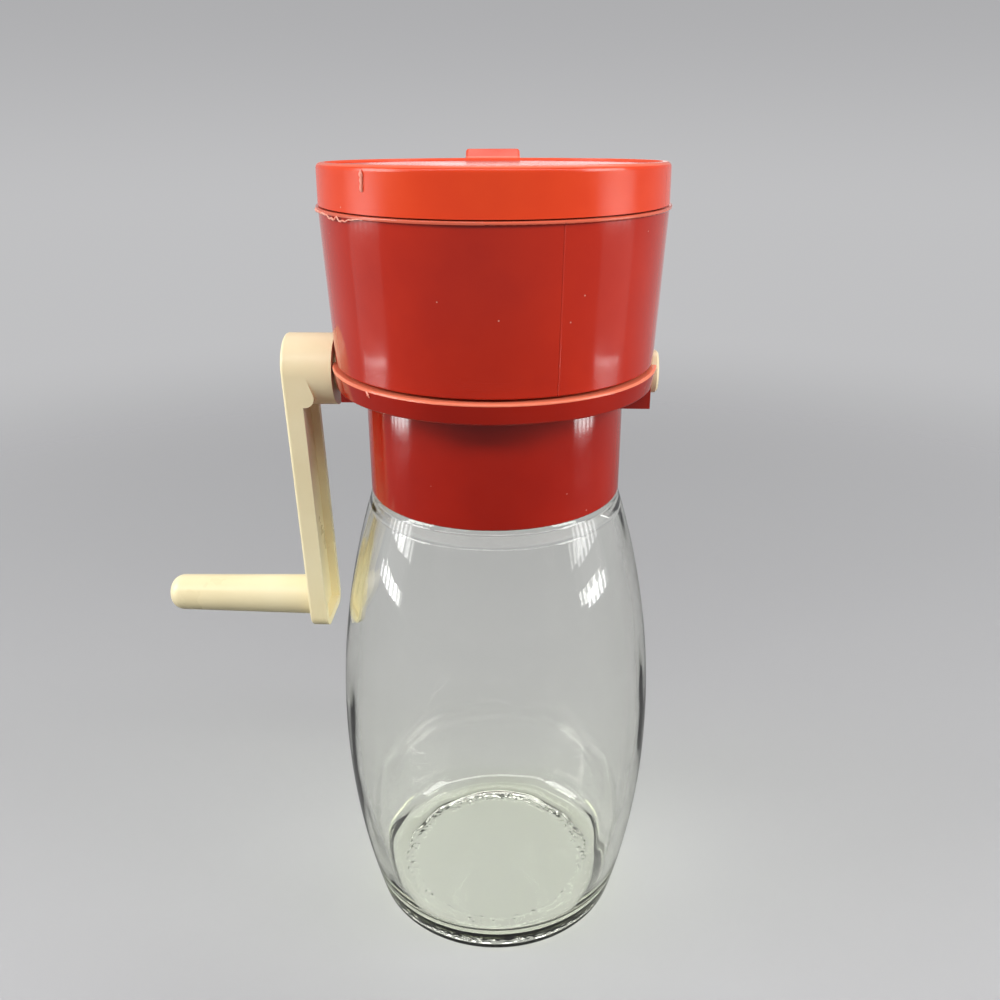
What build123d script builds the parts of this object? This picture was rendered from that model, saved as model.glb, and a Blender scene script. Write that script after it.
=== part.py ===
from build123d import *
from math import cos, radians, sin, sqrt, tan
import os

os.makedirs("parts", exist_ok=True)

# A hand-cranked nut chopper. Millimetres, +Z up, origin on the jar's axis where the jar stands.
# The shaft lies along X and the crank is at its -X end.

# Glass jar
jar_waist_z = 57.0
jar_bow = 14.7
jar_side_arc = 219.0
jar_wall = 2.8
jar_floor = 4.6
jar_push_up = 1.2
jar_rest_set_in = 11.1
jar_heel_round = 2.5
jar_inner_heel_round = 7.0
jar_ledge_z = 124.9
jar_ledge_round = 1.5
jar_neck_r = 27.4
jar_neck_wall = 2.5
jar_neck_height = 15.4
jar_rim_round = 1.0
jar_shoulder_thick = 5.0
jar_inner_shoulder_round = 2.5

# Base: collar, sealing land, top plate and skirt
thread_room = 1.5
collar_wall = 2.6
collar_gap = 0.35
land = 2.0
ring_top_z = 157.7
ring_height = 5.0
ring_r = 39.4
ring_draft = 1.0
ring_wall = 1.8
edge_round = 0.5

# Rotor: shaft, star blades and spacers
shaft_z = 154.7
shaft_square = 7.0
square_clearance = 0.05
journal_r = 5.15
journal_clearance = 0.08
journal_proud = 0.3
blade_count = 6
blade_pitch = 6.6
blade_thick = 1.2
blade_tip_r = 11.0
blade_root_r = 7.2
blade_points = 5
blade_tip_width = 2.0
blade_root_width = 5.4
blade_quarter_turn = 90
spacer_r = 6.0
end_spacer = 6.4
shaft_end_chamfer = 0.5
socket_depth = 10.0

# Throat frame, bosses and combs inside the base
throat_wall = 1.8
throat_gap_x = 3.4
throat_gap_y = 1.8
comb_seat_drop = 3.7
comb_thick = 1.2
comb_tip_gap = 0.5
comb_set_back = 0.45
comb_spine = 6.5
comb_wall_gap = 0.4
fine_tine_gap = 0.6
coarse_tine_gap = 1.4
outer_tine = 2.6
tine_tip_chamfer = 0.8
boss_x = 14.0
boss_inset = 4.4
boss_r = 2.8
rivet_r = 1.2
rivet_clearance = 0.05
rivet_shank = 6.2
rivet_head_r = 2.2
rivet_head = 1.0
rivet_head_round = 0.6

# Bearing troughs under the plate
crank_trough_floor = 1.3
crank_trough_set_in = 1.35
far_trough_floor = 2.2
far_trough_set_in = 0.75
trough_wall = 2.0
hub_flat = 0.9
hub_flat_gap = 0.5

# Hopper
hopper_gap = 0.6
hopper_foot_step = 1.1
hopper_top_z = 194.3
hopper_top_r = 40.0
hopper_wall = 1.8
bead_proud = 0.5
bead_height = 0.8
bead_round = 0.27
funnel_top_z = 176.0
funnel_drop = 13.0
funnel_floor = 2.0
chute_wall = 1.6
chute_gap_x = 0.5
chute_gap_y = 0.8
chute_gap_z = 0.4
chute_corner = 1.0
notch_gap = 0.35
foot_set_out = 2.3
foot_ring_wall = 1.6

# Lid
lid_gap = 0.3
lid_set_in = 0.05
lid_draft = 0.25
lid_turn = 3.0
lid_height = 8.6
lid_slope = 1.74
lid_corner_round = 1.2
lid_top_thick = 1.8
lid_recess = 0.6
lid_rim = 1.7
plug_clearance = 0.4
plug_depth = 6.0
plug_wall = 1.4
tab_width = 14.6
tab_corner_round = 0.8
tab_edge_round = 0.55
tab_root_drop = 3.3
tab_reach = 6.6
tab_rise = 2.2
tab_thick = 2.2

# Crank
hub_length = 12.35
hub_gap = 0.25
arm_half_width = 8.8
arm_thick = 4.7
arm_slope = 0.03
arm_drop = 69.2
arm_corner = 3.5
head_thick = 8.6
head_top_thick = 5.6
head_rise = 1.2
head_drop = 7.6
head_round = 2.3
channel_depth = 2.2
channel_wall = 2.0
peg_drop = 63.3
peg_length = 39.8
peg_root_r = 5.4
peg_tip_r = 4.75
peg_end_round = 3.6
peg_set_in = 1.2
soft_edge = 0.8

# How far a cut runs past the face it opens
cut_past = 1.0

# Places that follow from the sizes above
jar_waist_r = jar_neck_r + jar_bow
jar_rest_r = jar_waist_r - jar_rest_set_in
neck_top_z = jar_ledge_z + jar_neck_height
collar_bottom_z = jar_ledge_z + collar_gap
collar_in_r = jar_neck_r + thread_room
collar_r = collar_in_r + collar_wall
land_top_z = neck_top_z + land
plate_bottom_z = ring_top_z - ring_wall
ring_bottom_z = ring_top_z - ring_height
ring_low_r = ring_r - ring_draft
stack_half = (blade_count - 1) / 2 * blade_pitch + blade_thick / 2 + end_spacer
blade_xs = [(i - (blade_count - 1) / 2) * blade_pitch for i in range(blade_count)]
outer_blade_face = blade_xs[-1] + blade_thick / 2
throat_x = outer_blade_face + throat_gap_x
throat_y = blade_tip_r + throat_gap_y
comb_seat_z = shaft_z - comb_seat_drop
comb_root_y = throat_y + comb_set_back
boss_y = throat_y + boss_inset
spine_out_y = comb_root_y + comb_spine
bearing_r = journal_r + journal_clearance
chute_x = stack_half + chute_gap_x
chute_y = blade_tip_r + chute_gap_y
chute_bottom_z = comb_seat_z + comb_thick + chute_gap_z
funnel_bottom_z = funnel_top_z - funnel_drop
hopper_low_z = ring_top_z + hopper_gap
hopper_low_r = ring_r - hopper_foot_step
bead_r = hopper_top_r + bead_proud
notch_r = journal_r + notch_gap
foot_ring_r = collar_in_r + foot_set_out
lid_low_z = hopper_top_z + lid_gap
lid_bottom_r = hopper_top_r - lid_set_in
lid_top_r = lid_bottom_r - lid_draft
lid_top_z = lid_low_z + lid_height
lid_back_z = lid_top_z - lid_top_r * tan(radians(lid_slope))
hub_r = arm_half_width
hub_in_x = -(ring_r - hub_flat + hub_gap)
hub_out_x = hub_in_x - hub_length
arm_low_z = shaft_z - arm_drop
peg_z = shaft_z - peg_drop


def jar_side(z, inset=0.0):
    """Radius of the jar's bowed side at a height, or of its inner face with the wall as inset."""
    return jar_waist_r - jar_side_arc + sqrt((jar_side_arc - inset) ** 2 - (z - jar_waist_z) ** 2)


def hopper_side(z):
    """Radius of the hopper's outer cone at a height."""
    share = (z - hopper_low_z) / (hopper_top_z - hopper_low_z)
    return hopper_low_r + share * (hopper_top_r - hopper_low_r)


def arm_out_x(z):
    """Place of the crank arm's outer face, which leans in a little towards the jar."""
    return hub_out_x + arm_slope * (shaft_z - z)


def corner(sketch, x, y):
    """The sketch's vertex nearest to a point."""
    return sketch.vertices().sort_by_distance((x, y))[0]


# Jar: pressed glass, a bowed side, a low push-up underneath and a neck for the collar.
with BuildPart() as jar:
    with BuildSketch(Plane.XZ) as jar_outside:
        with BuildLine():
            Polyline(
                (jar_side(jar_ledge_z), jar_ledge_z),
                (jar_neck_r, jar_ledge_z),
                (jar_neck_r, neck_top_z),
                (0, neck_top_z),
                (0, jar_push_up),
                (jar_rest_r - jar_push_up, jar_push_up),
                (jar_rest_r, 0),
                (jar_side(0), 0),
            )
            ThreePointArc(
                (jar_side(0), 0),
                (jar_waist_r, jar_waist_z),
                (jar_side(jar_ledge_z), jar_ledge_z),
            )
        make_face()
        fillet(corner(jar_outside, jar_side(0), 0), jar_heel_round)
        fillet(corner(jar_outside, jar_side(jar_ledge_z), jar_ledge_z), jar_ledge_round)
        fillet(corner(jar_outside, jar_neck_r, neck_top_z), jar_rim_round)
        fillet(corner(jar_outside, jar_neck_r, jar_ledge_z), jar_rim_round)
    revolve(axis=Axis.Z)
    bore_r = jar_neck_r - jar_neck_wall
    inner_top_z = jar_ledge_z - jar_shoulder_thick
    with BuildSketch(Plane.XZ) as jar_inside:
        with BuildLine():
            Polyline(
                (jar_side(inner_top_z, jar_wall), inner_top_z),
                (bore_r, jar_ledge_z),
                (bore_r, neck_top_z + cut_past),
                (0, neck_top_z + cut_past),
                (0, jar_floor),
                (jar_side(jar_floor, jar_wall), jar_floor),
            )
            ThreePointArc(
                (jar_side(jar_floor, jar_wall), jar_floor),
                (jar_waist_r - jar_wall, jar_waist_z),
                (jar_side(inner_top_z, jar_wall), inner_top_z),
            )
        make_face()
        fillet(corner(jar_inside, jar_side(jar_floor, jar_wall), jar_floor), jar_inner_heel_round)
        fillet(corner(jar_inside, jar_side(inner_top_z, jar_wall), inner_top_z), jar_inner_shoulder_round)
        fillet(corner(jar_inside, bore_r, jar_ledge_z), jar_inner_shoulder_round)
    revolve(axis=Axis.Z, mode=Mode.SUBTRACT)
jar.part.label = "jar"
export_step(jar.part, "parts/jar.step")


# Base: one red moulding. The collar screws on the jar, the land seals on its rim, the throat
# frame and bosses carry the combs, and two open troughs under the plate are the shaft's bearings.
with BuildPart() as base_collar:
    with BuildSketch(Plane.XZ) as base_profile:
        with BuildLine():
            Polyline(
                (0, neck_top_z),
                (collar_in_r, neck_top_z),
                (collar_in_r, collar_bottom_z),
                (collar_r, collar_bottom_z),
                (collar_r, plate_bottom_z),
                (ring_low_r - ring_wall, plate_bottom_z),
                (ring_low_r - ring_wall, ring_bottom_z),
                (ring_low_r, ring_bottom_z),
                (ring_r, ring_top_z),
                (collar_in_r, ring_top_z),
                (collar_in_r, land_top_z),
                (0, land_top_z),
                (0, neck_top_z),
            )
        make_face()
        fillet(corner(base_profile, ring_r, ring_top_z), edge_round)
        fillet(corner(base_profile, ring_low_r, ring_bottom_z), edge_round)
        fillet(corner(base_profile, collar_r, collar_bottom_z), edge_round)
    revolve(axis=Axis.Z)
    with BuildSketch(Plane.XY.offset(land_top_z)):
        RectangleRounded(2 * (throat_x + throat_wall), 2 * (throat_y + throat_wall), throat_wall)
        with GridLocations(2 * boss_x, 2 * boss_y, 2, 2):
            Circle(boss_r)
        for side in (1, -1):
            with GridLocations(2 * boss_x, 0, 2, 1):
                with Locations((0, side * (throat_y + boss_inset / 2))):
                    Rectangle(throat_wall, boss_inset)
    extrude(amount=comb_seat_z - land_top_z)
    with BuildSketch(Plane.XY.offset(neck_top_z)):
        Rectangle(2 * throat_x, 2 * throat_y)
    extrude(amount=comb_seat_z - neck_top_z, mode=Mode.SUBTRACT)
    with BuildSketch(Plane.XY.offset(comb_seat_z)):
        with GridLocations(2 * boss_x, 2 * boss_y, 2, 2):
            Circle(rivet_r + rivet_clearance)
    extrude(amount=-rivet_shank, mode=Mode.SUBTRACT)
    with BuildSketch(Plane.YZ.offset(-throat_x - 2 * throat_wall)):
        with Locations((0, shaft_z)):
            Circle(spacer_r + comb_tip_gap)
    extrude(amount=2 * (throat_x + 2 * throat_wall), mode=Mode.SUBTRACT)
    trough_half = bearing_r + trough_wall
    trough_in_x = collar_r - collar_wall / 2
    for side, floor, set_in in (
        (1, far_trough_floor, far_trough_set_in),
        (-1, crank_trough_floor, crank_trough_set_in),
    ):
        trough_low_z = shaft_z - bearing_r - floor
        trough_x = ring_low_r - set_in
        with BuildSketch(Plane.XY.offset(trough_low_z)):
            with Locations((side * (trough_in_x + trough_x) / 2, 0)):
                Rectangle(trough_x - trough_in_x, 2 * trough_half)
        extrude(amount=ring_top_z - edge_round - trough_low_z)
        with BuildSketch(Plane.YZ.offset(side * (collar_in_r - cut_past))):
            with Locations((0, shaft_z)):
                Circle(bearing_r)
            with Locations((0, shaft_z + ring_height / 2)):
                Rectangle(2 * bearing_r, ring_height)
        extrude(amount=side * (ring_r - collar_in_r + 2 * cut_past), mode=Mode.SUBTRACT)
    with BuildSketch(Plane.XY.offset(ring_bottom_z - cut_past)):
        with Locations((-ring_r, 0)):
            Rectangle(2 * hub_flat, 2 * (hub_r + hub_flat_gap))
    extrude(amount=ring_height + 2 * cut_past, mode=Mode.SUBTRACT)
base_collar.part.label = "base_collar"
export_step(base_collar.part, "parts/base_collar.step")


# Combs: stamped steel. Turned one way the blades carry the nuts through the wide tines of the
# coarse comb, and turned the other way through the close tines of the fine one.
def comb_tines(tine_gap, with_outer):
    """Centre and width of each tine: one in every space between blades, and outer ones if asked."""
    width = blade_pitch - blade_thick - 2 * tine_gap
    tines = [((a + b) / 2, width) for a, b in zip(blade_xs, blade_xs[1:])]
    if with_outer:
        centre = outer_blade_face + tine_gap + outer_tine / 2
        tines += [(-centre, outer_tine), (centre, outer_tine)]
    return tines


tine_tip_y = spacer_r + comb_tip_gap
for name, side, tines in (
    ("coarse_comb", 1, comb_tines(coarse_tine_gap, False)),
    ("fine_comb", -1, comb_tines(fine_tine_gap, True)),
):
    with BuildPart() as comb:
        with BuildSketch(Plane.XY.offset(comb_seat_z)) as comb_outline:
            with Locations((0, side * (comb_root_y + spine_out_y) / 2)):
                Rectangle(2 * throat_x, comb_spine)
            Circle(collar_in_r - comb_wall_gap, mode=Mode.INTERSECT)
            for x, width in tines:
                with Locations((x, side * (tine_tip_y + comb_root_y) / 2)):
                    Rectangle(width, comb_root_y - tine_tip_y)
            tips = comb_outline.vertices().group_by(Axis.Y)[0 if side > 0 else -1]
            chamfer(tips, tine_tip_chamfer)
            with Locations((boss_x, side * boss_y), (-boss_x, side * boss_y)):
                Circle(rivet_r + rivet_clearance, mode=Mode.SUBTRACT)
        extrude(amount=comb_thick)
    comb.part.label = name
    export_step(comb.part, f"parts/{name}.step")


# Rivets: four steel pins headed over the combs, down into the bosses.
with BuildPart() as comb_rivets:
    comb_top_z = comb_seat_z + comb_thick
    with BuildSketch(Plane.XY.offset(comb_seat_z + edge_round - rivet_shank)):
        with GridLocations(2 * boss_x, 2 * boss_y, 2, 2):
            Circle(rivet_r)
    extrude(amount=comb_top_z - (comb_seat_z + edge_round - rivet_shank))
    with BuildSketch(Plane.XY.offset(comb_top_z)):
        with GridLocations(2 * boss_x, 2 * boss_y, 2, 2):
            Circle(rivet_head_r)
    extrude(amount=rivet_head)
    fillet(comb_rivets.edges().group_by(Axis.Z)[-1], rivet_head_round)
comb_rivets.part.label = "comb_rivets"
export_step(comb_rivets.part, "parts/comb_rivets.step")


# Drive shaft: cream moulding, a square core for the blades and a round journal at the far end.
with BuildPart() as drive_shaft:
    with BuildSketch(Plane.YZ.offset(-stack_half - socket_depth + edge_round)):
        with Locations((0, shaft_z)):
            Rectangle(shaft_square, shaft_square)
    extrude(amount=2 * stack_half + socket_depth - edge_round)
    with BuildSketch(Plane.YZ.offset(stack_half)):
        with Locations((0, shaft_z)):
            Circle(journal_r)
    extrude(amount=ring_r + journal_proud - stack_half)
    chamfer(drive_shaft.edges().group_by(Axis.X)[-1], shaft_end_chamfer)
drive_shaft.part.label = "drive_shaft"
export_step(drive_shaft.part, "parts/drive_shaft.step")


# Star blades: one steel stamping six times, each set a quarter turn on from the last. The
# square hole allows only quarter turns, which move a five-pointed star by a quarter of a point.
square_hole = shaft_square + 2 * square_clearance


def star_points():
    """Corners of the star, two at the root and two at the tip of each point."""
    corners = []
    for k in range(blade_points):
        turn = radians(90 + 360 / blade_points * k)
        for reach, half in (
            (blade_root_r, -blade_root_width / 2),
            (blade_tip_r, -blade_tip_width / 2),
            (blade_tip_r, blade_tip_width / 2),
            (blade_root_r, blade_root_width / 2),
        ):
            along = sqrt(reach**2 - half**2)
            corners.append((along * cos(turn) - half * sin(turn), along * sin(turn) + half * cos(turn)))
    return corners


for i, x in enumerate(blade_xs):
    with BuildPart() as star_blade:
        with BuildSketch(Plane.YZ.offset(x - blade_thick / 2)):
            with Locations(Location((0, shaft_z), i * blade_quarter_turn)):
                Polygon(*star_points(), align=None)
                Rectangle(square_hole, square_hole, mode=Mode.SUBTRACT)
        extrude(amount=blade_thick)
    star_blade.part.label = f"star_blade_{i + 1}"
    export_step(star_blade.part, f"parts/star_blade_{i + 1}.step")


# Spacers: cream rings on the square core that keep the blades apart, longer ones at the ends.
spacer_starts = [-stack_half] + [x + blade_thick / 2 for x in blade_xs]
spacer_ends = [x - blade_thick / 2 for x in blade_xs] + [stack_half]
for i, (start, end) in enumerate(zip(spacer_starts, spacer_ends)):
    with BuildPart() as spacer:
        with BuildSketch(Plane.YZ.offset(start)):
            with Locations((0, shaft_z)):
                Circle(spacer_r)
                Rectangle(square_hole, square_hole, mode=Mode.SUBTRACT)
        extrude(amount=end - start)
    spacer.part.label = f"spacer_{i + 1}"
    export_step(spacer.part, f"parts/spacer_{i + 1}.step")


# Crank: cream moulding. A channelled arm with a thicker head, a round hub whose stub runs in
# the near trough and grips the shaft's square end, and a tapered peg to turn it by.
with BuildPart() as crank:
    head_low_z = shaft_z - head_drop
    arm_high_z = shaft_z + arm_half_width
    with BuildSketch(Plane.XZ) as arm_profile:
        with BuildLine():
            Polyline(
                (arm_out_x(arm_high_z), arm_high_z),
                (arm_out_x(arm_low_z), arm_low_z),
                (arm_out_x(arm_low_z) + arm_thick, arm_low_z),
                (arm_out_x(head_low_z) + arm_thick, head_low_z),
                (hub_out_x + head_thick, head_low_z),
                (hub_out_x + head_top_thick, shaft_z + head_rise),
                (hub_out_x + head_top_thick, arm_high_z),
                (arm_out_x(arm_high_z), arm_high_z),
            )
        make_face()
        fillet(corner(arm_profile, hub_out_x + head_thick, head_low_z), head_round)
    extrude(amount=arm_half_width, both=True)
    with BuildSketch(Plane.YZ.offset(hub_out_x - cut_past)) as arm_outline:
        with Locations((0, shaft_z)):
            Circle(arm_half_width)
        with Locations((0, (shaft_z + arm_low_z) / 2)):
            Rectangle(2 * arm_half_width, arm_drop)
        fillet(arm_outline.vertices().group_by(Axis.Y)[0], arm_corner)
    extrude(amount=hub_length, mode=Mode.INTERSECT)
    fillet(crank.faces().sort_by(Axis.X)[0].edges(), soft_edge)
    channel_high_z = head_low_z
    channel_low_z = arm_low_z + channel_wall
    with BuildSketch(Plane.XZ):
        with BuildLine():
            Polyline(
                (arm_out_x(channel_high_z) + arm_thick - channel_depth, channel_high_z),
                (arm_out_x(channel_high_z) + arm_thick + cut_past, channel_high_z),
                (arm_out_x(channel_low_z) + arm_thick + cut_past, channel_low_z),
                (arm_out_x(channel_low_z) + arm_thick - channel_depth, channel_low_z),
                (arm_out_x(channel_high_z) + arm_thick - channel_depth, channel_high_z),
            )
        make_face()
    extrude(amount=arm_half_width - channel_wall, both=True, mode=Mode.SUBTRACT)
    with BuildSketch(Plane.YZ.offset(hub_out_x + soft_edge)):
        with Locations((0, shaft_z)):
            Circle(hub_r)
    extrude(amount=hub_length - soft_edge)
    with BuildSketch(Plane.YZ.offset(hub_in_x)):
        with Locations((0, shaft_z)):
            Circle(journal_r)
    extrude(amount=-stack_half - hub_in_x)
    with BuildSketch(Plane.YZ.offset(-stack_half)):
        with Locations((0, shaft_z)):
            Rectangle(square_hole, square_hole)
    extrude(amount=-socket_depth, mode=Mode.SUBTRACT)
    with BuildSketch(Plane.XZ) as peg_profile:
        peg_root_x = arm_out_x(peg_z) + peg_set_in
        peg_end_x = arm_out_x(peg_z) - peg_length
        with BuildLine():
            Polyline(
                (peg_root_x, peg_z),
                (peg_root_x, peg_z + peg_root_r),
                (peg_end_x, peg_z + peg_tip_r),
                (peg_end_x, peg_z),
                (peg_root_x, peg_z),
            )
        make_face()
        fillet(corner(peg_profile, peg_end_x, peg_z + peg_tip_r), peg_end_round)
    revolve(axis=Axis((0, 0, peg_z), (1, 0, 0)))
crank.part.label = "crank"
export_step(crank.part, "parts/crank.step")


# Hopper: red moulding. A cone with a bead round its mouth, a funnel floor and a straight chute
# that drops over the rotor, notched over the shaft, standing on a foot ring on the plate.
with BuildPart() as hopper:
    with BuildSketch(Plane.XZ) as hopper_wall_profile:
        bead_low_z = hopper_top_z - bead_height
        with BuildLine():
            Polyline(
                (hopper_low_r - hopper_wall, hopper_low_z),
                (hopper_low_r, hopper_low_z),
                (hopper_side(bead_low_z), bead_low_z),
                (bead_r, bead_low_z),
                (bead_r, hopper_top_z),
                (hopper_top_r - hopper_wall, hopper_top_z),
                (hopper_low_r - hopper_wall, hopper_low_z),
            )
        make_face()
        fillet(corner(hopper_wall_profile, bead_r, bead_low_z), bead_round)
        fillet(corner(hopper_wall_profile, bead_r, hopper_top_z), bead_round)
        fillet(corner(hopper_wall_profile, hopper_low_r, hopper_low_z), edge_round)
    revolve(axis=Axis.Z)
    under_z = funnel_top_z - funnel_floor
    with BuildSketch(Plane.XY.offset(under_z)):
        Circle(hopper_side(under_z) - hopper_wall / 2)
    with BuildSketch(Plane.XY.offset(funnel_bottom_z - funnel_floor)):
        RectangleRounded(2 * (chute_x + chute_wall), 2 * (chute_y + chute_wall), chute_corner)
    loft()
    with BuildSketch(Plane.XY.offset(under_z)):
        Circle(hopper_side(under_z) - hopper_wall / 2)
    extrude(amount=funnel_floor)
    with BuildSketch(Plane.XY.offset(ring_top_z)):
        Circle(foot_ring_r + foot_ring_wall)
        Circle(foot_ring_r, mode=Mode.SUBTRACT)
    extrude(amount=under_z - ring_top_z)
    with BuildSketch(Plane.XY.offset(chute_bottom_z)):
        RectangleRounded(2 * (chute_x + chute_wall), 2 * (chute_y + chute_wall), chute_corner)
    extrude(amount=funnel_bottom_z - chute_bottom_z)
    with BuildSketch(Plane.XY.offset(funnel_top_z)):
        Circle(hopper_side(funnel_top_z) - hopper_wall)
    with BuildSketch(Plane.XY.offset(funnel_bottom_z)):
        RectangleRounded(2 * chute_x, 2 * chute_y, chute_corner)
    loft(mode=Mode.SUBTRACT)
    with BuildSketch(Plane.XY.offset(chute_bottom_z)):
        RectangleRounded(2 * chute_x, 2 * chute_y, chute_corner)
    extrude(amount=funnel_bottom_z - chute_bottom_z, mode=Mode.SUBTRACT)
    for side in (1, -1):
        with BuildSketch(Plane.YZ.offset(side * (chute_x - cut_past))):
            with Locations((0, shaft_z)):
                Circle(notch_r)
            with Locations((0, (shaft_z + chute_bottom_z - cut_past) / 2)):
                Rectangle(2 * notch_r, shaft_z - chute_bottom_z + cut_past)
        extrude(amount=side * ring_r, mode=Mode.SUBTRACT)
hopper.part.label = "hopper"
export_step(hopper.part, "parts/hopper.step")


# Lid: red moulding with a raised rim, a plug ring that fits the hopper's mouth and a thumb tab. Its
# top falls towards the tab. It lies a few degrees round from the shaft, as it was last put down.
with BuildPart() as lid_tab:
    with BuildSketch(Plane.YZ):
        with BuildLine():
            Polyline(
                (lid_top_r - lid_rim, lid_back_z - lid_recess),
                (lid_bottom_r - lid_rim, lid_back_z - tab_thick),
                (lid_bottom_r, lid_back_z - tab_root_drop),
                (lid_bottom_r + tab_reach, lid_back_z + tab_rise - tab_thick),
                (lid_bottom_r + tab_reach, lid_back_z + tab_rise),
                (lid_top_r, lid_back_z),
                (lid_top_r - lid_rim, lid_back_z - lid_recess),
            )
        make_face()
    extrude(amount=tab_width / 2, both=True)
    fillet(lid_tab.edges().filter_by(Axis.X).group_by(Axis.Y)[-1], tab_edge_round)
    fillet(lid_tab.edges().filter_by(Axis.Z).group_by(Axis.Y)[-1], tab_corner_round)

with BuildPart() as lid:
    plug_low_z = hopper_top_z - plug_depth
    plug_r = hopper_side(plug_low_z) - hopper_wall - plug_clearance
    top_plane = Plane((0, 0, lid_top_z), x_dir=(1, 0, 0), z_dir=(0, tan(radians(lid_slope)), 1))
    with BuildSketch(Plane.XZ) as lid_profile:
        with BuildLine():
            Polyline(
                (0, plug_low_z),
                (plug_r, plug_low_z),
                (plug_r, lid_low_z),
                (lid_bottom_r, lid_low_z),
                (lid_top_r, lid_low_z + 2 * lid_height),
                (0, lid_low_z + 2 * lid_height),
                (0, plug_low_z),
            )
        make_face()
        fillet(corner(lid_profile, plug_r, plug_low_z), edge_round)
    revolve(axis=Axis.Z)
    with BuildSketch(top_plane):
        Circle(2 * lid_top_r)
    extrude(amount=2 * lid_height, mode=Mode.SUBTRACT)
    fillet(lid.faces().sort_by(Axis.Z)[-1].edges(), lid_corner_round)
    with BuildSketch(top_plane):
        Circle(lid_top_r - lid_rim)
    extrude(amount=-lid_recess, mode=Mode.SUBTRACT)
    with BuildPart(mode=Mode.SUBTRACT):
        with BuildSketch(Plane.XY.offset(plug_low_z)):
            Circle(plug_r - plug_wall)
        extrude(amount=plug_depth + lid_height)
        with BuildSketch(top_plane.offset(-lid_recess - lid_top_thick)):
            Circle(2 * lid_top_r)
        extrude(amount=2 * lid_height, mode=Mode.SUBTRACT)
    add(lid_tab.part)
turned_lid = lid.part.rotate(Axis.Z, lid_turn)
turned_lid.label = "lid"
export_step(turned_lid, "parts/lid.step")
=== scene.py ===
from math import ceil, cos, pi, radians, sin, sqrt, tan

import bmesh
import bpy
from mathutils import Matrix, Vector, noise


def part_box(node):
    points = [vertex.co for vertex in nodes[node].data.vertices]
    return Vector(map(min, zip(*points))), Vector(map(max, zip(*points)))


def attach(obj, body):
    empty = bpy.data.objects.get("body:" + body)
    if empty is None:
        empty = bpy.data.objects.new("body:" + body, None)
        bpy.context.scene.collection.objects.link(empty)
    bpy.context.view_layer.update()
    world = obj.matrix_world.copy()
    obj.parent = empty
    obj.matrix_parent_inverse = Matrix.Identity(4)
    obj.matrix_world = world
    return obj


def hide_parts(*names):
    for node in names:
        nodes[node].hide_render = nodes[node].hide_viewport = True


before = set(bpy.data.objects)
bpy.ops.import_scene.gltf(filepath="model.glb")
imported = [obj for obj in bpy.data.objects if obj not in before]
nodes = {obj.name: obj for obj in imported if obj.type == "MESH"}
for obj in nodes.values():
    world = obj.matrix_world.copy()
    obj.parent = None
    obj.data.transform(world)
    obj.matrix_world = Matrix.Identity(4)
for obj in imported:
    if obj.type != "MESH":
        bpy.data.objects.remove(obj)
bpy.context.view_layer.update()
mm = 0.001


# Jar. Clear glass, pressed and then blown out in a mould, so its outside is true and its inside wanders
# a little. It is yellow-green where it is thick, and its neck has a raised thread that holds the collar.
jar_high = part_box("jar")[1]
waist_r = jar_high.x
waist_z = 57 * mm
side_arc = 219 * mm
side_foot_z = 5 * mm
jar_wall = 2.8 * mm
jar_floor_z = 4.6 * mm
jar_floor_r = 24 * mm
push_up = 1.2 * mm
dome_r = 24 * mm
dome_rows = 16
rest_r = 31 * mm
heel_round = 2.5 * mm
inner_heel_round = 7 * mm
inner_heel_z = 14 * mm
inner_shoulder_z = 119.9 * mm
inner_shoulder_low_z = inner_shoulder_z - 4 * mm
inner_shoulder_round = 2.5 * mm
ledge_z = 124.9 * mm
ledge_round = 1.5 * mm
neck_r = 27.4 * mm
neck_foot_round = 1 * mm
neck_top_z = jar_high.z
neck_inset = 2 * mm
bore_r = 24.9 * mm
bore_middle_z = ledge_z + 4 * mm
rim_round = 1 * mm
inner_rim_round = 0.6 * mm
glass_steps = 288

# Places less than a hair apart count as one, because points of an outline are rounded a little.
hair = 0.01 * mm

# The grip and the stipple that the mould gave the jar's underside.
knurl_r = rest_r + 0.8 * mm
knurl_count = 72
knurl_depth = 0.12 * mm
stipple_start_r = dome_r + 0.2 * mm
stipple_end_r = dome_r + 3.8 * mm
stipple_depth = 1.0 * mm
stipple_sharpness = 1.5
stipple_waves = 1300

thread_height = 1.0 * mm
thread_half_width = 1.3 * mm
thread_low_z = ledge_z + 3.2 * mm
thread_pitch = 4.2 * mm
thread_turns = 1.6
thread_run_in = 1 / 12

# The wander of the inner face. Each swing has its share, its radius in waves, its waves in a metre of
# height, and the height in waves at which it starts.
wander_depth = 0.16 * mm
wander_swings = ((1, 2.2, 28, 0), (0.4, 6, 50, 40))
wander_rim_fade = 12 * mm
wander_middle_fade = 15 * mm
wander_up_z = 12 * mm
wander_up_share = 0.6


def spaced(start, end, steps):
    """Numbers from start to end in even steps."""
    return [start + (end - start) * k / steps for k in range(steps + 1)]


def swell(share):
    """A smooth hump, 1 high at 0 and down to nothing at -1 and 1."""
    return 0.5 + 0.5 * cos(pi * share)


def side_r(z, inset=0.0):
    """Radius of the jar's bowed side at a height, or of its inner face with the wall as inset."""
    return waist_r - side_arc + sqrt((side_arc - inset) ** 2 - (z - waist_z) ** 2)


def dome_z(r):
    """Height of the underside at a radius, from its flat middle down to the ring that the jar stands on."""
    return push_up * swell((r - dome_r) / (rest_r - dome_r))


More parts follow.
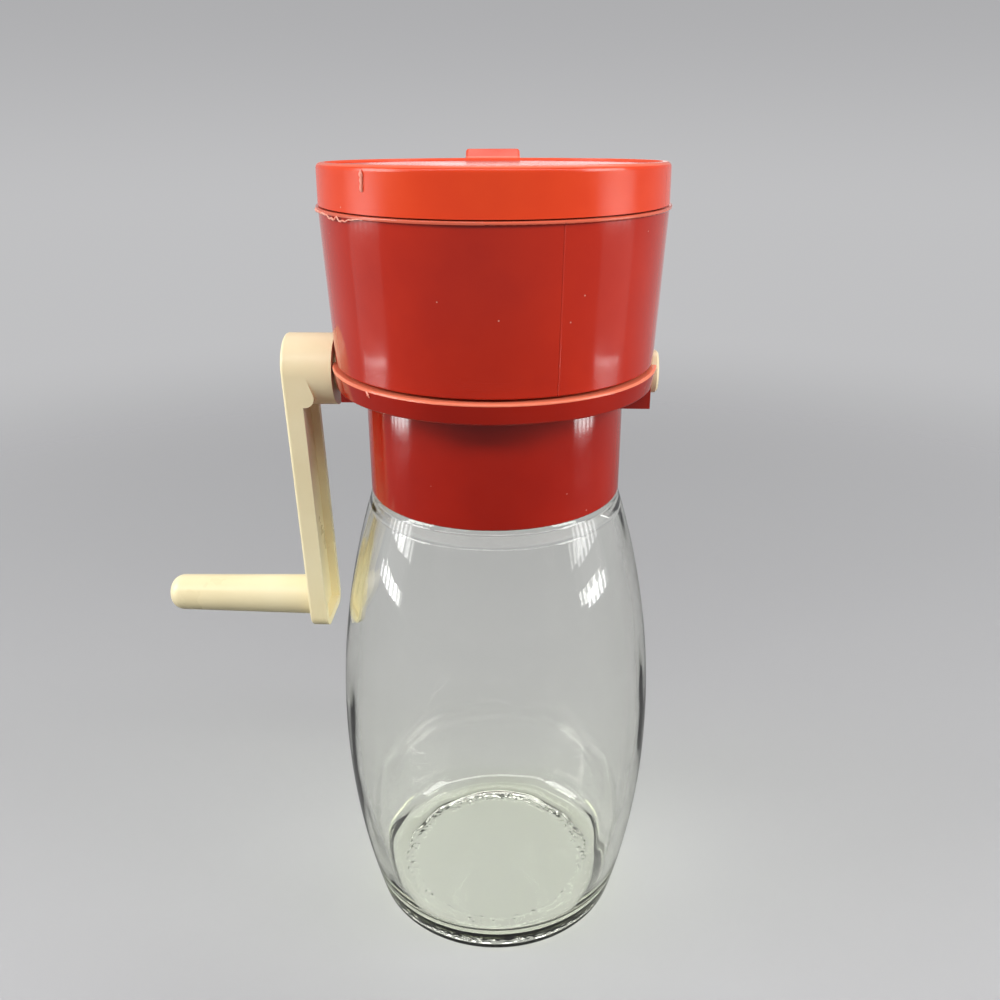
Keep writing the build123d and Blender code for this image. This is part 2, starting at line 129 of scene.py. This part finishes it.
def rounded(corners, steps):
    """Points of an outline from its (radius, height, rounding) corners, with an arc at each rounding."""
    points = []
    for i, (r, z, rounding) in enumerate(corners):
        here = Vector((r, z))
        if rounding == 0:
            points.append(here)
            continue
        back = (Vector(corners[i - 1][:2]) - here).normalized()
        onward = (Vector(corners[(i + 1) % len(corners)][:2]) - here).normalized()
        half = back.angle(onward) / 2
        middle = here + (back + onward).normalized() * rounding / sin(half)
        first = here + back * rounding / tan(half) - middle
        last = here + onward * rounding / tan(half) - middle
        turn = pi - 2 * half
        for share in spaced(0, 1, steps):
            points.append(middle + (first * sin((1 - share) * turn) + last * sin(share * turn)) / sin(turn))
    return points


def mesh_piece(name, points, faces):
    """A new object with its origin at the jar's foot, and its faces turned outwards."""
    mesh = bpy.data.meshes.new(name)
    mesh.from_pydata(points, [], faces)
    piece = bpy.data.objects.new(name, mesh)
    bpy.context.scene.collection.objects.link(piece)
    form = bmesh.new()
    form.from_mesh(mesh)
    bmesh.ops.recalc_face_normals(form, faces=form.faces)
    form.to_mesh(mesh)
    form.free()
    return piece


def turned(name, outline, steps, bend):
    """A piece turned round the upright axis from a closed outline, each of its points moved by bend."""
    points = []
    rings = []
    for k, (r, z) in enumerate(outline):
        if r < hair:
            rings.append([len(points)])
            points.append((0, 0, z))
            continue
        rings.append(range(len(points), len(points) + steps))
        for j in range(steps):
            angle = 2 * pi * j / steps
            at_r, at_z = bend(k, r, z, angle)
            points.append((at_r * cos(angle), at_r * sin(angle), at_z))
    faces = []
    for low, high in zip(rings, rings[1:] + rings[:1]):
        if len(low) == 1 and len(high) == 1:
            continue
        for j in range(steps):
            after = (j + 1) % steps
            if len(low) == 1:
                faces.append((low[0], high[after], high[j]))
            elif len(high) == 1:
                faces.append((low[j], low[after], high[0]))
            else:
                faces.append((low[j], low[after], high[after], high[j]))
    return mesh_piece(name, points, faces)


def smooth(piece, angle):
    """Smooth shading, with edges sharper than an angle in degrees left sharp."""
    piece.data.shade_smooth()
    piece.data.set_sharp_from_angle(angle=radians(angle))


glass_outside = rounded(
    [(0, push_up, 0), (dome_r - (rest_r - dome_r) / dome_rows, push_up, 0), (dome_r, push_up, 0)]
    + [(r, dome_z(r), 0) for r in spaced(dome_r, rest_r, dome_rows)[1:-1]]
    + [(rest_r, 0, 0), (knurl_r, 0, 0), (side_r(0), 0, heel_round)]
    + [(side_r(z), z, 0) for z in spaced(side_foot_z, ledge_z - side_foot_z, 80)]
    + [(side_r(ledge_z), ledge_z, ledge_round), (neck_r, ledge_z, neck_foot_round)]
    + [(neck_r, z, 0) for z in spaced(ledge_z + neck_inset, neck_top_z - neck_inset, 40)]
    + [(neck_r, neck_top_z, rim_round), (bore_r, neck_top_z, inner_rim_round), (bore_r, bore_middle_z, 0)],
    steps=10,
)
glass_inside = rounded(
    [(bore_r, bore_middle_z, 0), (bore_r, ledge_z, inner_shoulder_round)]
    + [(side_r(inner_shoulder_z, jar_wall), inner_shoulder_z, inner_shoulder_round)]
    + [(side_r(z, jar_wall), z, 0) for z in spaced(inner_shoulder_low_z, inner_heel_z, 70)]
    + [(side_r(jar_floor_z, jar_wall), jar_floor_z, inner_heel_round)]
    + [(r, jar_floor_z, 0) for r in spaced(jar_floor_r, 0, 6)],
    steps=14,
)


def noise_round(waves_r, angle, height):
    """Noise on a circle, with the circle's radius and its height in waves."""
    return noise.noise(Vector((waves_r * cos(angle), waves_r * sin(angle), height)))


def blow(k, r, z, angle):
    """Where a point of the glass goes, for the wander of the inner face, the knurl that the jar stands on,
    the stippled ring inside it and the thread on the neck."""
    if k >= len(glass_outside):
        swing = 0.0
        for share, waves_r, waves_up, start in wander_swings:
            swing += share * noise_round(waves_r, angle, start + waves_up * z)
        fade = min(1.0, max(0.0, (neck_top_z - z) / wander_rim_fade)) * min(1.0, r / wander_middle_fade)
        shift = wander_depth * swing * fade
        return r + shift, z + wander_up_share * shift * (z < wander_up_z)
    if abs(r - knurl_r) < hair and z < hair:
        return r, knurl_depth * (1 - swell(knurl_count * angle / pi))
    if z < push_up + hair and stipple_start_r < r < stipple_end_r:
        return r, z + stipple_depth * abs(noise_round(stipple_waves * r, angle, 0)) ** stipple_sharpness
    if abs(r - neck_r) < hair:
        ridge = 0.0
        for turn in range(ceil(thread_turns)):
            along = (angle / (2 * pi) + turn) / thread_turns
            if along > 1:
                continue
            away = (z - thread_low_z - along * thread_turns * thread_pitch) / thread_half_width
            ends = min(1.0, along / thread_run_in, (1 - along) / thread_run_in)
            if abs(away) < 1:
                ridge = max(ridge, ends * swell(away))
        return r + thread_height * ridge, z
    return r, z


jar = turned("jar_glass_body", glass_outside + glass_inside[1:], glass_steps, blow)
smooth(jar, 50)


def new_finish(name):
    """A new node material, its node tree and its surface shader."""
    material = bpy.data.materials.new(name)
    material.use_nodes = True
    return material, material.node_tree, material.node_tree.nodes["Principled BSDF"]


def set_inputs(node, **values):
    """Sets a node's inputs, each named with underscores for spaces."""
    for name, value in values.items():
        node.inputs[name.replace("_", " ")].default_value = value


def feed(tree, node, *feeds):
    """Feeds a node's inputs in turn, each from another node or with a plain value."""
    for socket, source in zip(node.inputs, feeds):
        if isinstance(source, bpy.types.NodeSocket):
            tree.links.new(source, socket)
        else:
            socket.default_value = source


def reckoned(tree, operation, *feeds, kind="ShaderNodeMath"):
    """The value of a new maths node, which its feeds go into in turn."""
    node = tree.nodes.new(kind)
    node.operation = operation
    feed(tree, node, *feeds)
    return node.outputs["Value"]


def along_axis(tree, place, axis):
    """How far a place lies along one axis."""
    split = tree.nodes.new("ShaderNodeSeparateXYZ")
    feed(tree, split, place)
    return split.outputs[axis]


def own_place(tree, stretch=(1, 1, 1)):
    """The place that is being coloured, in the object's own space, with its axes stretched."""
    place = tree.nodes.new("ShaderNodeTexCoord")
    spread = tree.nodes.new("ShaderNodeMapping")
    set_inputs(spread, Scale=stretch)
    tree.links.new(place.outputs["Object"], spread.inputs["Vector"])
    return spread.outputs["Vector"]


def grain(tree, scale, detail, stretch=(1, 1, 1)):
    """Noise in the object's own space, its scale in waves a metre."""
    cloud = tree.nodes.new("ShaderNodeTexNoise")
    set_inputs(cloud, Scale=scale, Detail=detail)
    tree.links.new(own_place(tree, stretch), cloud.inputs["Vector"])
    return cloud.outputs["Fac"]


def bump(tree, height, depth, strength, over=None):
    """Relief of a depth in metres from a height of 0 to 1, on top of another relief if there is one."""
    relief = tree.nodes.new("ShaderNodeBump")
    set_inputs(relief, Strength=strength, Distance=depth)
    tree.links.new(height, relief.inputs["Height"])
    if over:
        tree.links.new(over, relief.inputs["Normal"])
    return relief.outputs["Normal"]


def graded(tree, value, low, high, start=0.3, end=0.7):
    """A colour that runs from low to high as a value runs from start to end."""
    ramp = tree.nodes.new("ShaderNodeValToRGB")
    ramp.color_ramp.elements[0].position = start
    ramp.color_ramp.elements[0].color = low + (1,)
    ramp.color_ramp.elements[1].position = end
    ramp.color_ramp.elements[1].color = high + (1,)
    feed(tree, ramp, value)
    return ramp.outputs["Color"]


def spanned(tree, value, low=0.0, high=1.0, start=0.3, end=0.7):
    """A number that runs smoothly from low to high as a value runs from start to end."""
    span = tree.nodes.new("ShaderNodeMapRange")
    span.interpolation_type = "SMOOTHSTEP"
    tree.links.new(value, span.inputs["Value"])
    set_inputs(span, From_Min=start, From_Max=end, To_Min=low, To_Max=high)
    return span.outputs["Result"]


def shader_between(tree, share, first, second):
    """A shader that turns from the first into the second as a share runs from 0 to 1."""
    mix = tree.nodes.new("ShaderNodeMixShader")
    feed(tree, mix, share, first, second)
    return mix.outputs[0]


glass, tree, clear = new_finish("clear_jar_glass")
set_inputs(clear, Base_Color=(1, 1, 1, 1), Roughness=0.015, IOR=1.5, Transmission_Weight=1)
ripple = bump(tree, grain(tree, scale=60, detail=1), depth=0.1 * mm, strength=0.6)
drawn = grain(tree, scale=420, detail=2, stretch=(1, 1, 0.04))
up_high = spanned(tree, along_axis(tree, own_place(tree), "Z"), start=70 * mm, end=100 * mm)
drawn_lines = reckoned(tree, "MULTIPLY", drawn, up_high)
relief = bump(tree, drawn_lines, depth=0.012 * mm, strength=0.6, over=ripple)
tree.links.new(relief, clear.inputs["Normal"])
lets_light_by = tree.nodes.new("ShaderNodeBsdfTransparent")
set_inputs(lets_light_by, Color=(0.84, 0.85, 0.83, 1))
ray = tree.nodes.new("ShaderNodeLightPath")
surface = shader_between(tree, ray.outputs["Is Shadow Ray"], clear.outputs[0], lets_light_by.outputs[0])
tree.links.new(surface, tree.nodes["Material Output"].inputs["Surface"])
tint = tree.nodes.new("ShaderNodeVolumeAbsorption")
set_inputs(tint, Color=(0.72, 0.84, 0.22, 1), Density=12)
tree.links.new(tint.outputs[0], tree.nodes["Material Output"].inputs["Volume"])
jar.data.materials.append(glass)
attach(jar, "jar_body")
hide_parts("jar")


# Base. One red moulding, screwed on the jar's neck, with a plain collar, a wide ring above it and open
# bearings under the ring. The mould left a fine seam up its side, and use has torn a chip from the ring's
# edge. A pale band along the ring's top edge is a painted highlight, and the base's red is set darker than
# the hopper's, partly as painted shade for the shadow that the ring casts on the collar.
dust_colour = (0.75, 0.42, 0.33)
# The colour and half width of the painted highlight along the top edges of the red parts.
edge_highlight_colour = (0.8, 0.2, 0.11)
edge_highlight_half = 0.45 * mm
seam_top_half = 0.06 * mm
seam_foot_half = 0.22 * mm
seam_height = 0.08 * mm


def laid_over(tree, share, under, colour):
    """A plain colour over another one, in a share from 0 to 1."""
    mix = tree.nodes.new("ShaderNodeMix")
    mix.data_type = "RGBA"
    tree.links.new(share, mix.inputs["Factor"])
    tree.links.new(under, mix.inputs["A"])
    mix.inputs["B"].default_value = colour + (1,)
    return mix.outputs["Result"]


def red_plastic(name, deep, bright, gloss, seam_turn, seam_r, painted_highlight_z, painted_highlight_share, lines=None, fall=0.0):
    """The red plastic between two shades and two roughnesses, with specks of pale dust. The mould's seam is
    at a turn from the front, outside a radius, and a pale band just above a height is a painted highlight.
    Turned lines come in from one height to another where lines says so, and heights fall towards the back by
    a slope."""
    vectors = "ShaderNodeVectorMath"
    material, tree, shader = new_finish(name)
    here = own_place(tree)
    height = reckoned(tree, "DOT_PRODUCT", here, (0, fall, 1), kind=vectors)

    cloud = grain(tree, scale=45, detail=4)
    dust = tree.nodes.new("ShaderNodeTexVoronoi")
    set_inputs(dust, Scale=160)
    tree.links.new(here, dust.inputs["Vector"])
    specks = spanned(tree, dust.outputs["Distance"], low=0.6, high=0.0, start=0.02, end=0.035)
    dusty = laid_over(tree, specks, graded(tree, cloud, deep, bright), dust_colour)
    # Painted highlight: a pale band along the edge just above a height, laid over in a share from 0 to 1.
    highlight_band = reckoned(tree, "COMPARE", height, painted_highlight_z + edge_highlight_half, edge_highlight_half)
    with_painted_highlight = laid_over(tree, reckoned(tree, "MULTIPLY", highlight_band, painted_highlight_share), dusty, edge_highlight_colour)
    tree.links.new(with_painted_highlight, shader.inputs["Base Color"])
    tree.links.new(spanned(tree, cloud, *gloss), shader.inputs["Roughness"])

    across = reckoned(tree, "DOT_PRODUCT", here, (cos(seam_turn), sin(seam_turn), 0), kind=vectors)
    from_seam = reckoned(tree, "ABSOLUTE", across)
    ridge = spanned(tree, from_seam, low=1.0, high=0.0, start=seam_top_half, end=seam_foot_half)
    out = reckoned(tree, "LENGTH", own_place(tree, (1, 1, 0)), kind=vectors)
    seam = reckoned(tree, "MULTIPLY", ridge, reckoned(tree, "GREATER_THAN", out, seam_r))
    relief = bump(tree, grain(tree, scale=70, detail=2), depth=0.08 * mm, strength=0.5)
    relief = bump(tree, seam, depth=seam_height, strength=1, over=relief)
    if lines:
        wave = tree.nodes.new("ShaderNodeTexWave")
        wave.bands_direction = "Z"
        set_inputs(wave, Scale=820, Distortion=0.4)
        tree.links.new(here, wave.inputs["Vector"])
        coming_in = spanned(tree, height, start=lines[0], end=lines[1])
        turned_lines = reckoned(tree, "MULTIPLY", wave.outputs["Fac"], coming_in)
        relief = bump(tree, turned_lines, depth=0.012 * mm, strength=0.8, over=relief)
    fine = grain(tree, scale=1700, detail=2)
    relief = bump(tree, fine, depth=0.005 * mm, strength=0.6, over=relief)
    tree.links.new(relief, shader.inputs["Normal"])
    set_inputs(shader, IOR=1.45, Specular_IOR_Level=0.42)
    return material


ring_top_z = 157.7 * mm
ring_r = 39.4 * mm
# Its shades are partly the base's own red and partly painted shade under the ring; the pale band at the
# ring's top edge is a painted highlight.
nodes["base_collar"].data.materials[0] = red_plastic(
    "red_base_plastic",
    deep=(0.31, 0.007, 0.001),
    bright=(0.38, 0.011, 0.002),
    gloss=(0.06, 0.13),
    seam_turn=radians(-68),
    seam_r=31.2 * mm,
    painted_highlight_z=ring_top_z - 0.55 * mm,
    painted_highlight_share=1.0,
    lines=(150 * mm, 126 * mm),
)

burr_red, tree, shader = new_finish("pale_torn_red_plastic")
torn = graded(tree, grain(tree, scale=900, detail=3), (0.8, 0.16, 0.09), (0.92, 0.46, 0.34))
tree.links.new(torn, shader.inputs["Base Color"])
set_inputs(shader, Roughness=0.35)


def ragged(k, waves, *line):
    """Noise from point to point of a torn edge, with so many waves to a point and a line of its own."""
    return noise.noise(Vector((k * waves, *line)))


def burr(name, route, thick, body):
    """A torn sliver of plastic along points given by turn from the front, radius and height. It swells and
    thins as it goes, closes to a point at both ends, and stands out less far than it is wide."""
    corners = 7
    flatness = 0.6
    thinnest = 0.55
    swing = 1.1
    end_share = 0.03
    bluntness = 0.4
    middles = [Vector((r * sin(turn), -r * cos(turn), z)) for turn, r, z in route]
    last = len(middles) - 1
    points = []
    for k, middle in enumerate(middles):
        onward = (middles[min(k + 1, last)] - middles[max(k - 1, 0)]).normalized()
        out = Vector((middle.x, middle.y, 0)).normalized()
        side = onward.cross(out).normalized()
        uneven = thinnest + swing * abs(ragged(k, 0.37, thick * 9000, 3.1))
        reach = thick * uneven * sin(pi * min(1 - end_share, max(end_share, k / last))) ** bluntness
        for j in range(corners):
            angle = 2 * pi * j / corners
            points.append(middle + (out * cos(angle) * flatness + side * sin(angle)) * reach)
    faces = [tuple(range(corners)), tuple(last * corners + j for j in range(corners))]
    for k in range(last):
        here = k * corners
        for j in range(corners):
            after = (j + 1) % corners
            faces.append((here + j, here + after, here + corners + after, here + corners + j))
    piece = mesh_piece(name, points, faces)
    smooth(piece, 60)
    piece.data.materials.append(burr_red)
    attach(piece, body)


chip_turn = radians(-43)
chip_lean = 0.004
chip_r = ring_r - 0.1 * mm
chip_top_z = ring_top_z - 0.35 * mm
chip_step = 0.2 * mm
chip = [(chip_turn + chip_lean * k, chip_r, chip_top_z - chip_step * k) for k in range(8)]
burr("chip_on_ring", chip, 0.34 * mm, "base")


# Combs and rivets. Stamped steel sheet with the lines of rolling along it, each comb held on its bosses
# by two of the four headed rivets.
def rolled_steel(name, stretch, dull, bright, gloss):
    """Bare steel between two shades and two roughnesses, with its rolling lines along the axis whose
    stretch is small."""
    material, tree, shader = new_finish(name)
    rolled = grain(tree, scale=900, detail=3, stretch=stretch)
    tree.links.new(graded(tree, rolled, dull, bright), shader.inputs["Base Color"])
    tree.links.new(spanned(tree, rolled, *gloss), shader.inputs["Roughness"])
    tree.links.new(bump(tree, rolled, depth=0.02 * mm, strength=0.6), shader.inputs["Normal"])
    set_inputs(shader, Metallic=1)
    return material


comb_steel = rolled_steel("stamped_steel", (0.04, 1, 1), (0.5, 0.5, 0.49), (0.66, 0.66, 0.65), (0.24, 0.4))
for name in ("coarse_comb", "fine_comb", "comb_rivets"):
    nodes[name].data.materials[0] = comb_steel


# Star blades. Six steel stampings on the square shaft, rolled like the combs and worn bright by the nuts
# that they break.
blade_steel = rolled_steel(
    "worn_blade_steel",
    stretch=(1, 0.05, 1),
    dull=(0.56, 0.56, 0.55),
    bright=(0.74, 0.74, 0.72),
    gloss=(0.18, 0.34),
)
for name, node in nodes.items():
    if name.startswith("star_blade_"):
        node.data.materials[0] = blade_steel


# Shaft, spacers and crank. Cream plastic with a soft sheen, each moulded in one piece. The spacers
# slide on the shaft between the blades, and the crank's stub grips the shaft's square end.
def cream_plastic(name, deep, bright):
    """The cream plastic between two shades, with faint lines round the shaft's axis and a fine grain."""
    material, tree, shader = new_finish(name)
    cloud = grain(tree, scale=60, detail=4)
    tree.links.new(graded(tree, cloud, deep, bright), shader.inputs["Base Color"])
    tree.links.new(spanned(tree, cloud, 0.27, 0.4), shader.inputs["Roughness"])
    relief = bump(tree, grain(tree, scale=80, detail=2), depth=0.1 * mm, strength=0.4)
    faint_lines = grain(tree, scale=500, detail=2, stretch=(5, 0.4, 0.4))
    relief = bump(tree, faint_lines, depth=0.004 * mm, strength=0.3, over=relief)
    fine = grain(tree, scale=1500, detail=2)
    relief = bump(tree, fine, depth=0.012 * mm, strength=0.5, over=relief)
    tree.links.new(relief, shader.inputs["Normal"])
    set_inputs(shader, IOR=1.46, Specular_IOR_Level=0.45)
    return material


shaft_cream = cream_plastic("cream_shaft_plastic", (0.78, 0.64, 0.4), (0.84, 0.71, 0.46))
for name, node in nodes.items():
    if name == "drive_shaft" or name.startswith("spacer_"):
        node.data.materials[0] = shaft_cream
crank_cream = cream_plastic("cream_crank_plastic", (0.86, 0.74, 0.45), (0.91, 0.81, 0.53))
nodes["crank"].data.materials[0] = crank_cream


# Hopper. A red moulding that stands on the ring and lifts off, with a bead round its mouth. The mould
# let a ragged lip of plastic out along the bead, and turned lines show near its foot.
hopper_foot_z = 158.3 * mm
bead_r = 40.5 * mm
bead_edge_z = 193.65 * mm
# A pale band along the bead's top edge, at about half strength, is a painted highlight.
nodes["hopper"].data.materials[0] = red_plastic(
    "red_hopper_plastic",
    deep=(0.4, 0.012, 0.0015),
    bright=(0.48, 0.019, 0.003),
    gloss=(0.06, 0.13),
    seam_turn=radians(23),
    seam_r=37.5 * mm,
    painted_highlight_z=bead_edge_z,
    painted_highlight_share=0.55,
    lines=(hopper_foot_z + 9 * mm, hopper_foot_z + 3 * mm),
)
lip_start = radians(-88)
lip_turn = radians(50)
lip_sag = 0.9 * mm
lump_middle = 0.75
lump_half = 0.2
lip = []
for k, share in enumerate(spaced(0, 1, 70)):
    lump = max(0.0, 1 - ((share - lump_middle) / lump_half) ** 2)
    sag = lip_sag * lump * (0.7 + ragged(k, 0.3, 7, 0))
    lip.append((lip_start + lip_turn * share, bead_r, bead_edge_z - sag))
burr("mould_lip_on_bead", lip, 0.34 * mm, "hopper_body")


# Lid. A red moulding, a little brighter than the rest, partly its own colour and partly painted light, with
# a plug ring under it and a tab to lift it by. Its top falls towards the tab, a pale band along its top edge
# is a painted highlight, and its edge has a nick where it was knocked.
lid_r = 39.92 * mm
lid_top_z = 203.2 * mm
nodes["lid"].data.materials[0] = red_plastic(
    "red_lid_plastic",
    deep=(0.68, 0.042, 0.007),
    bright=(0.76, 0.06, 0.01),
    gloss=(0.17, 0.26),
    seam_turn=radians(70),
    seam_r=39.2 * mm,
    painted_highlight_z=lid_top_z - 0.5 * mm,
    painted_highlight_share=0.5,
    fall=tan(radians(1.74)),
)
nick_turn = radians(-38.4)
nick_sway = 0.014
nick_r = lid_r + 0.1 * mm
nick_step = 0.3 * mm
nick = [(nick_turn + nick_sway * ragged(k, 0.3, 2, 2), nick_r, lid_top_z - nick_step * k) for k in range(15)]
burr("nick_on_lid", nick, 0.6 * mm, "lid_body")


# Floor and backdrop. A plain pale floor that fades out into a pale backdrop all round. Both are seen
# paler than the light that they give back.
floor_half = 1.2
floor_corners = [(x * floor_half, y * floor_half, 0) for x, y in ((-1, -1), (1, -1), (1, 1), (-1, 1))]
floor = mesh_piece("floor", floor_corners, [(0, 1, 2, 3)])
pale, tree, shader = new_finish("pale_floor")
set_inputs(shader, Roughness=0.75, Specular_IOR_Level=0.2)
ray = tree.nodes.new("ShaderNodeLightPath")
in_view = reckoned(tree, "MAXIMUM", ray.outputs["Is Camera Ray"], ray.outputs["Is Transmission Ray"])
floor_colour = graded(tree, in_view, (0.17, 0.17, 0.17), (0.4, 0.4, 0.405), start=0, end=1)
tree.links.new(floor_colour, shader.inputs["Base Color"])
away = reckoned(tree, "LENGTH", own_place(tree), kind="ShaderNodeVectorMath")
beyond = tree.nodes.new("ShaderNodeBsdfTransparent")
fading = spanned(tree, away, start=0.2, end=0.75)
surface = shader_between(tree, fading, shader.outputs[0], beyond.outputs[0])
tree.links.new(surface, tree.nodes["Material Output"].inputs["Surface"])
floor.data.materials.append(pale)

sky = bpy.data.worlds.new("pale_sky")
bpy.context.scene.world = sky
sky.use_nodes = True
tree = sky.node_tree
seen_sky = tree.nodes["Background"]
direction = tree.nodes.new("ShaderNodeTexCoord").outputs["Generated"]
upwards = spanned(tree, along_axis(tree, direction, "Z"), start=-0.1, end=0.12)
sky_colour = graded(tree, upwards, (0.53, 0.53, 0.54), (0.42, 0.42, 0.43), start=0, end=1)
tree.links.new(sky_colour, seen_sky.inputs["Color"])
set_inputs(seen_sky, Strength=1.0)
ambient = tree.nodes.new("ShaderNodeBackground")
set_inputs(ambient, Color=(0.2, 0.2, 0.21, 1))
ray = tree.nodes.new("ShaderNodeLightPath")
surface = shader_between(tree, ray.outputs["Is Diffuse Ray"], seen_sky.outputs[0], ambient.outputs[0])
tree.links.new(surface, tree.nodes["World Output"].inputs["Surface"])


# Light. One long soft lamp overhead, one behind and one at each side. Small ones show as windows in the
# plastic and the glass, and a far one as the pale crescent on the lid's top.
def soft_lamp(name, at, towards, width, height, brightness, spread=pi, strips=0):
    """A soft rectangular lamp that the camera itself doesn't see, plain or of bright strips side by side.
    Its brightness is its radiance straight ahead, and a spread below half a turn keeps its light off what
    lies beside its way."""
    light = bpy.data.lights.new(name, "AREA")
    light.shape = "RECTANGLE"
    light.size = width
    light.size_y = height
    light.spread = spread
    half = spread / 2
    share = sin(half) ** 2
    if spread < pi:
        share -= (half - sin(spread) / 2) / tan(half)
    light.energy = brightness * pi * width * height * share
    if strips:
        light.use_nodes = True
        tree = light.node_tree
        face = tree.nodes.new("ShaderNodeNewGeometry")
        along = along_axis(tree, face.outputs["Parametric"], "X")
        wave = reckoned(tree, "SINE", reckoned(tree, "MULTIPLY", along, 2 * pi * strips))
        strength = spanned(tree, wave, low=0.3, high=1.5, start=-0.6, end=0.6)
        tree.links.new(strength, tree.nodes["Emission"].inputs["Strength"])
    lamp = bpy.data.objects.new(name, light)
    lamp.location = at
    lamp.rotation_euler = (Vector(towards) - Vector(at)).to_track_quat("-Z", "Y").to_euler()
    lamp.visible_camera = False
    bpy.context.scene.collection.objects.link(lamp)


narrow = radians(44)
soft_lamp("overhead_lamp", (0, -0.42, 0.62), (0, 0, 0.13), width=1.3, height=0.13, brightness=6.5)
soft_lamp("back_lamp", (0.1, 0.4, 0.75), (0, 0, 0.12), width=0.5, height=0.3, brightness=3.5)
soft_lamp("far_lamp", (0, 0.7, 0.196), (0, 0, 0.2), width=0.3, height=0.12, brightness=1.7, spread=narrow)
for side, name in ((-1, "left"), (1, "right")):
    soft_lamp(
        name + "_side_lamp", (side * 0.62, -0.16, 0.42), (0, 0, 0.12),
        width=0.34, height=0.3, brightness=10,
    )
    soft_lamp(
        name + "_low_lamp", (side * 0.3, -0.03, 0.0635), (0, 0, 0.16),
        width=0.12, height=0.016, brightness=17, spread=narrow, strips=5,
    )
    soft_lamp(
        name + "_high_lamp", (side * 0.6, -0.06, 0.14), (0, 0, 0.12),
        width=0.3, height=0.1, brightness=6, spread=narrow, strips=6,
    )
    soft_lamp(
        name + "_fill_lamp", (side * 0.31, -0.03, 0.11), (0, 0, 0.11),
        width=0.15, height=0.12, brightness=0.35,
    )


# Camera, at the height, distance and tilt from which the photo was taken. It stands a little to the
# right of the object's front, and its lens is given for a picture that is frame_px wide.
lens_px = 946
frame_px = 1000
sensor = 36
camera_away = 227.4 * mm
camera_height = 214.8 * mm
object_turn = radians(2.7)
camera_down = radians(22.64)
camera_yaw = 0.0055
camera_roll = -0.0023
heading = object_turn - camera_yaw
ahead = Vector((-sin(heading) * cos(camera_down), cos(heading) * cos(camera_down), -sin(camera_down)))
upright = ahead.to_track_quat("-Z", "Y").to_matrix()
camera_data = bpy.data.cameras.new("photo_camera")
camera_data.sensor_width = sensor
camera_data.lens = sensor * lens_px / frame_px
camera_data.clip_start = 0.01
camera = bpy.data.objects.new("photo_camera", camera_data)
camera.location = (sin(object_turn) * camera_away, -cos(object_turn) * camera_away, camera_height)
camera.rotation_euler = (upright @ Matrix.Rotation(camera_roll, 3, "Z")).to_euler()
bpy.context.scene.collection.objects.link(camera)
bpy.context.scene.camera = camera
bpy.context.scene.view_settings.view_transform = "Standard"
